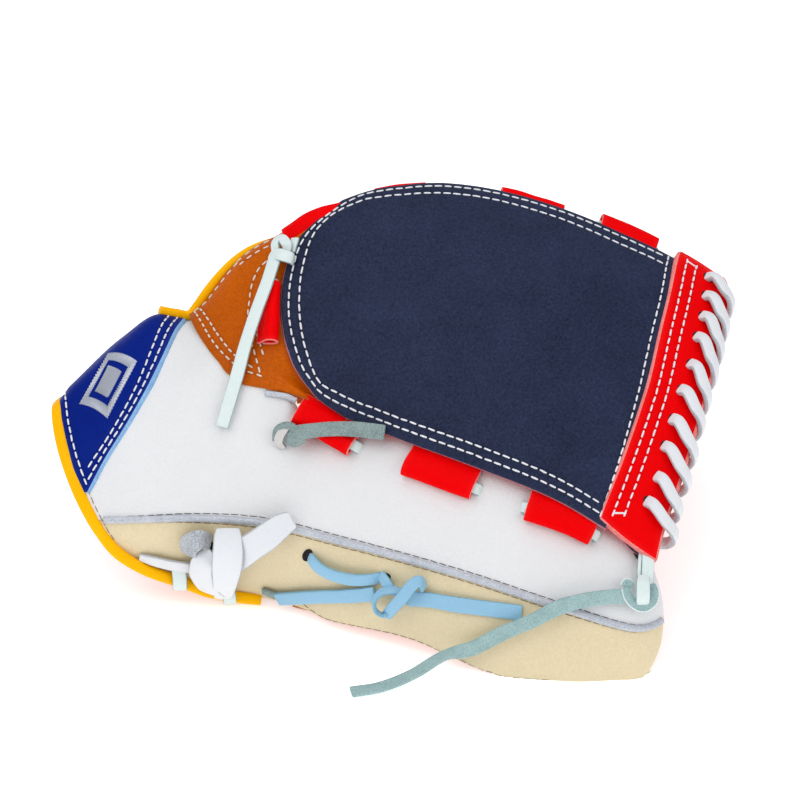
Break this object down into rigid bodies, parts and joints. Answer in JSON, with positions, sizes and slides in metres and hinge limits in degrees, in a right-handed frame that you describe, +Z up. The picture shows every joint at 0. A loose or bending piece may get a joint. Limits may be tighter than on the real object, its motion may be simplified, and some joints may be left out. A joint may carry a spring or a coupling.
{
  "type": "softball glove",
  "caption": "Left-hand leather softball glove lying palm down, closed, with a solid two-layer web, laced crossbar and wrist strap.",
  "frame": {"origin": "middle of the glove's box on the surface it lies on", "axes": "+X from the wrist to the fingertips, -Y the thumb side, +Z up"},
  "size_m": [0.31, 0.2606, 0.1575],
  "materials": {
    "white_leather": "satin",
    "white_lace": "satin",
    "tan_leather": "satin",
    "silver_welt": "satin",
    "rust_leather": "satin",
    "blue_leather": "satin",
    "navy_leather": "satin",
    "red_leather": "satin",
    "gold_binding": "satin",
    "silver_thread": "satin",
    "grey_lace": "matt",
    "sky_lace": "satin",
    "mint_lace": "satin"
  },
  "bodies": {
    "root": {"thumb_inner": "white_leather", "thumb_outer": "tan_leather", "thumb_welt": "silver_welt", "thumb_palm": "rust_leather", "index_back": "rust_leather", "index_palm": "rust_leather", "middle_back": "tan_leather", "middle_palm": "rust_leather", "ring_back": "white_leather", "ring_palm": "rust_leather", "little_back": "tan_leather", "little_palm": "rust_leather", "palm": "rust_leather", "hand_side": "tan_leather", "web_base": "rust_leather", "strap": "blue_leather", "web_outer": "navy_leather", "web_inner": "red_leather", "crossbar": "red_leather", "cross_lace_1": "white_lace", "cross_lace_2": "white_lace", "cross_lace_3": "white_lace", "cross_lace_4": "white_lace", "cross_lace_5": "white_lace", "cross_lace_6": "white_lace", "cross_lace_7": "white_lace", "cross_lace_8": "white_lace", "cross_lace_9": "white_lace", "cross_lace_10": "white_lace", "loop_top_left": "red_leather", "lace_top_left": "mint_lace", "loop_left": "red_leather", "lace_left": "mint_lace", "loop_low_1": "red_leather", "lace_low_1": "mint_lace", "loop_low_2": "red_leather", "lace_low_2": "mint_lace", "loop_low_3": "red_leather", "lace_low_3": "mint_lace", "loop_top_1": "red_leather", "loop_top_2": "red_leather", "loop_top_3": "red_leather", "lace_top_3": "mint_lace", "binding_wrist": "gold_binding", "binding_opening": "gold_binding", "ornament": "silver_thread", "knot_top": "mint_lace", "tail_top": "mint_lace", "knot_low": "grey_lace", "tail_low": "grey_lace", "knot_tip": "mint_lace", "tail_tip": "mint_lace", "lace_tip": "mint_lace", "lace_thumb": "sky_lace", "knot_thumb": "sky_lace", "tail_thumb_left": "sky_lace", "tail_thumb_right": "sky_lace", "knot_heel": "white_lace", "tail_heel": "white_lace", "lace_heel": "white_lace"}
  },
  "joints": []
}
